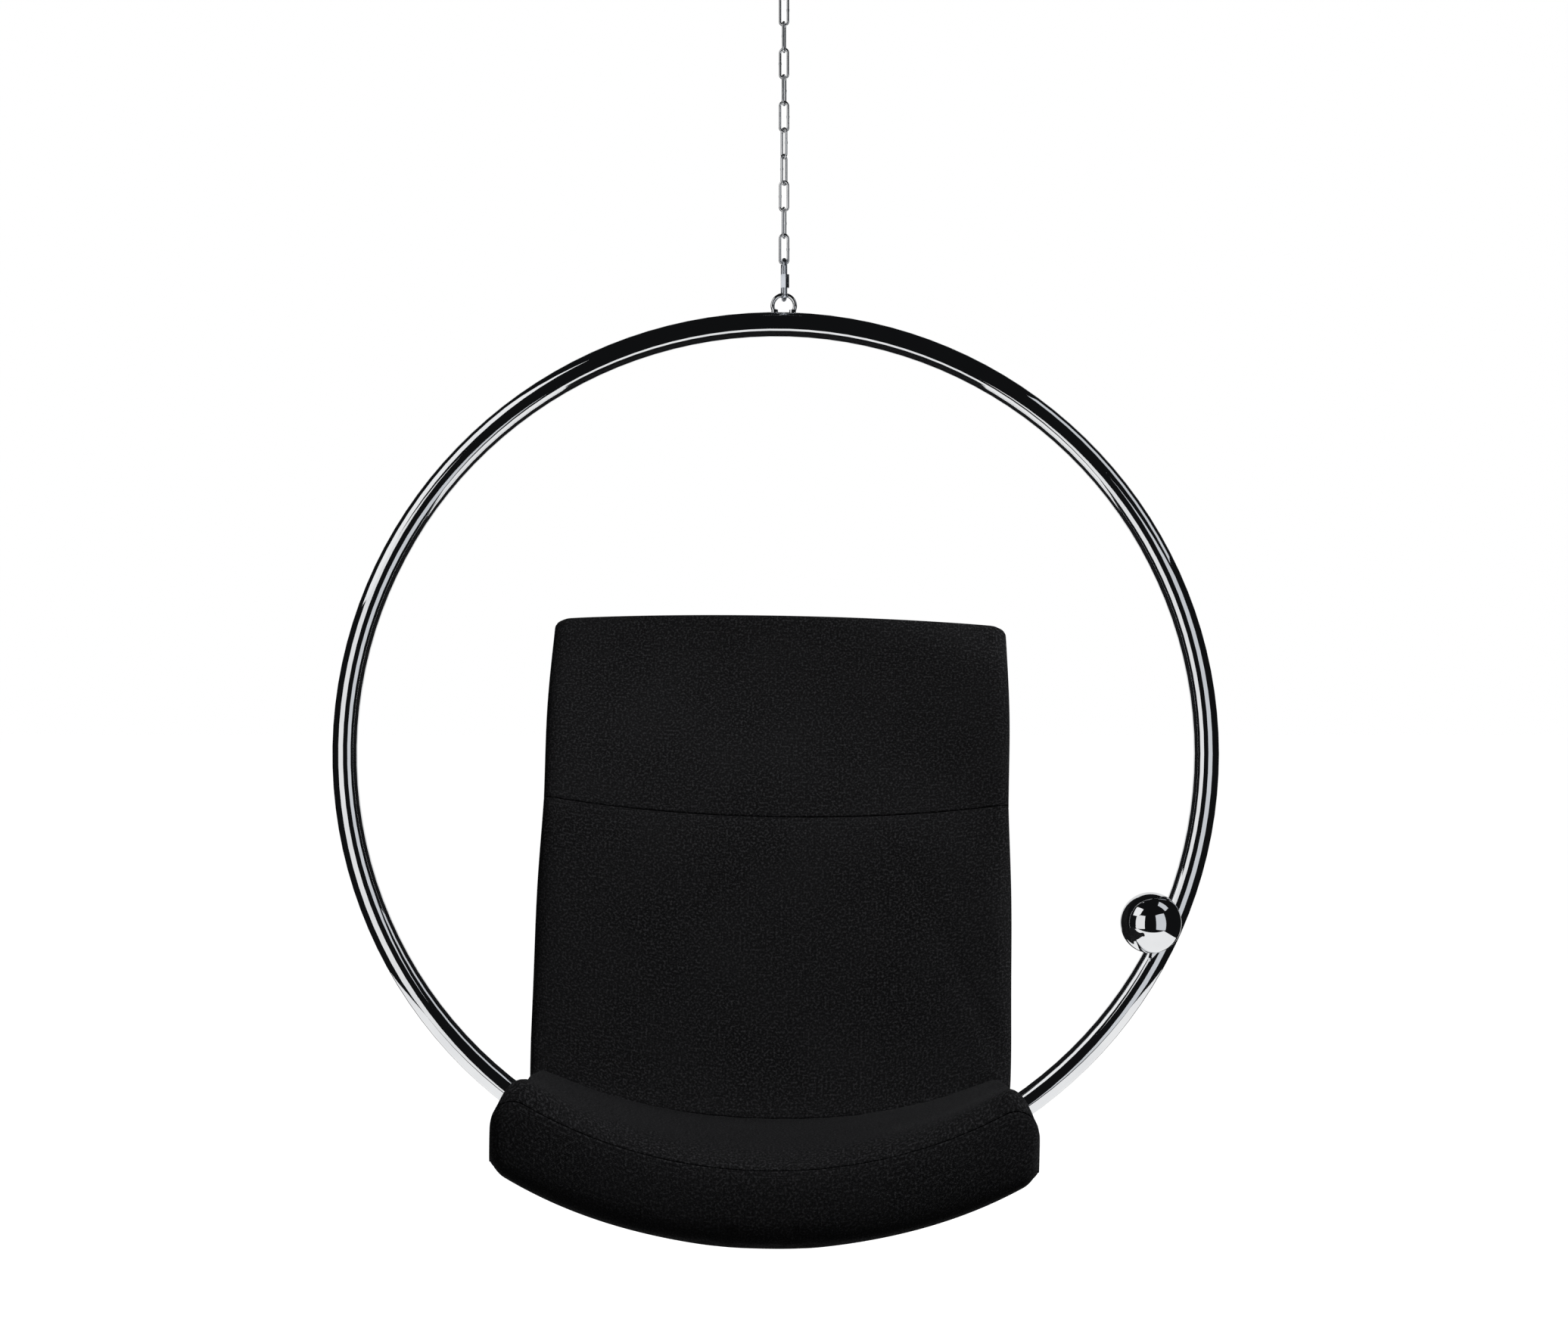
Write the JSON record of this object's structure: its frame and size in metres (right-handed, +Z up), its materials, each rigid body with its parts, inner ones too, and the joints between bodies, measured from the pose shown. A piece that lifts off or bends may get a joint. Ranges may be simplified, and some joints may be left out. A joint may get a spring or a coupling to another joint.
{
  "type": "hanging ring swing",
  "caption": "Tubular ring hung by a short chain, carrying an upholstered scoop seat with back, head section and front lip, and a ball on a stud inside the ring.",
  "frame": {"origin": "centre of the ceiling plate's upper face, on the hanging axis", "axes": "+Z up along the hanging axis, -Y the way the sitter looks, +X to the sitter's left"},
  "size_m": [1.1299, 0.7206, 1.6887],
  "materials": {
    "polished_chrome": "mirror polished",
    "chain_chrome": "bright plated wire",
    "zinc_plate": "bright zinc plate, faintly blue",
    "bronze": "turned",
    "black_rubber": "matt",
    "black_shell": "moulded plywood, stained black, satin",
    "black_cloth": "fine woven wool-like cloth, matt"
  },
  "bodies": {
    "ceiling_fitting": {"ceiling_plate": "polished_chrome", "swivel_housing": "polished_chrome", "swivel_bush": "bronze", "thrust_washer": "zinc_plate"},
    "swivel": {"swivel_eye": "polished_chrome", "swivel_nut": "zinc_plate"},
    "upper_quick_link": {"upper_quick_link": "zinc_plate"},
    "upper_sleeve": {"upper_sleeve": "zinc_plate"},
    "chain_link_01": {"chain_link_01": "chain_chrome"},
    "chain_link_02": {"chain_link_02": "chain_chrome"},
    "chain_link_03": {"chain_link_03": "chain_chrome"},
    "chain_link_04": {"chain_link_04": "chain_chrome"},
    "chain_link_05": {"chain_link_05": "chain_chrome"},
    "chain_link_06": {"chain_link_06": "chain_chrome"},
    "chain_link_07": {"chain_link_07": "chain_chrome"},
    "chain_link_08": {"chain_link_08": "chain_chrome"},
    "chain_link_09": {"chain_link_09": "chain_chrome"},
    "chain_link_10": {"chain_link_10": "chain_chrome"},
    "chain_link_11": {"chain_link_11": "chain_chrome"},
    "lower_quick_link": {"lower_quick_link": "zinc_plate"},
    "lower_sleeve": {"lower_sleeve": "zinc_plate"},
    "swing": {"ring_eye": "polished_chrome", "ring_tube": "polished_chrome", "ball_stud": "polished_chrome", "grip_ball": "polished_chrome", "seat_saddles": "black_rubber", "shaped_washers": "zinc_plate", "seat_bolts": "zinc_plate", "tee_nuts": "zinc_plate", "seat_shell": "black_shell", "back_cover": "black_cloth", "front_pad": "black_cloth", "seat_pad": "black_cloth", "back_pad": "black_cloth", "head_pad": "black_cloth"}
  },
  "joints": [
    {"name": "swivel_turn", "type": "hinge", "parent": "ceiling_fitting", "child": "swivel", "pos_m": [0, 0, -0.0561], "axis": [0, 0, 1], "continuous": true},
    {"name": "upper_quick_link_swing", "type": "hinge", "parent": "swivel", "child": "upper_quick_link", "pos_m": [0, 0, -0.0701], "axis": [0.2079, 0.9781, 0], "range_deg": [-60, 60]},
    {"name": "upper_sleeve_screw", "type": "slide", "parent": "upper_quick_link", "child": "upper_sleeve", "axis": [0, 0, 1], "range_m": [0, 0.009]},
    {"name": "chain_link_01_swing", "type": "hinge", "parent": "upper_quick_link", "child": "chain_link_01", "pos_m": [0, 0, -0.1139], "axis": [-0.9781, 0.2079, 0], "range_deg": [-60, 60]},
    {"name": "chain_link_02_swing", "type": "hinge", "parent": "chain_link_01", "child": "chain_link_02", "pos_m": [0, 0, -0.14715], "axis": [-0.2079, -0.9781, 0], "range_deg": [-60, 60]},
    {"name": "chain_link_03_swing", "type": "hinge", "parent": "chain_link_02", "child": "chain_link_03", "pos_m": [0, 0, -0.18165], "axis": [0.9781, -0.2079, 0], "range_deg": [-60, 60]},
    {"name": "chain_link_04_swing", "type": "hinge", "parent": "chain_link_03", "child": "chain_link_04", "pos_m": [0, 0, -0.21615], "axis": [0.2079, 0.9781, 0], "range_deg": [-60, 60]},
    {"name": "chain_link_05_swing", "type": "hinge", "parent": "chain_link_04", "child": "chain_link_05", "pos_m": [0, 0, -0.25065], "axis": [0.9613, -0.2756, 0], "range_deg": [-60, 60]},
    {"name": "chain_link_06_swing", "type": "hinge", "parent": "chain_link_05", "child": "chain_link_06", "pos_m": [0, 0, -0.28515], "axis": [-0.2924, -0.9563, 0], "range_deg": [-30, 30]},
    {"name": "chain_link_07_swing", "type": "hinge", "parent": "chain_link_06", "child": "chain_link_07", "pos_m": [0, 0, -0.31965], "axis": [-0.9925, -0.1219, 0], "range_deg": [-20, 20]},
    {"name": "chain_link_08_swing", "type": "hinge", "parent": "chain_link_07", "child": "chain_link_08", "pos_m": [0, 0, -0.35415], "axis": [-0.5299, 0.848, 0], "range_deg": [-20, 20]},
    {"name": "chain_link_09_swing", "type": "hinge", "parent": "chain_link_08", "child": "chain_link_09", "pos_m": [0, 0, -0.38865], "axis": [-0.5446, -0.8387, 0], "range_deg": [-60, 60]},
    {"name": "chain_link_10_swing", "type": "hinge", "parent": "chain_link_09", "child": "chain_link_10", "pos_m": [0, 0, -0.42315], "axis": [0.9659, -0.2588, 0], "range_deg": [-60, 60]},
    {"name": "chain_link_11_swing", "type": "hinge", "parent": "chain_link_10", "child": "chain_link_11", "pos_m": [0, 0, -0.45765], "axis": [0.2924, 0.9563, 0], "range_deg": [-45, 45]},
    {"name": "lower_quick_link_swing", "type": "hinge", "parent": "chain_link_11", "child": "lower_quick_link", "pos_m": [0, 0, -0.49215], "axis": [-0.9962, -0.0872, 0], "range_deg": [-60, 60]},
    {"name": "lower_sleeve_screw", "type": "slide", "parent": "lower_quick_link", "child": "lower_sleeve", "axis": [0, 0, 1], "range_m": [0, 0.009]},
    {"name": "ring_swing", "type": "hinge", "parent": "lower_quick_link", "child": "swing", "pos_m": [0, 0, -0.5382], "axis": [0.1392, -0.9903, 0], "range_deg": [-60, 60]}
  ]
}
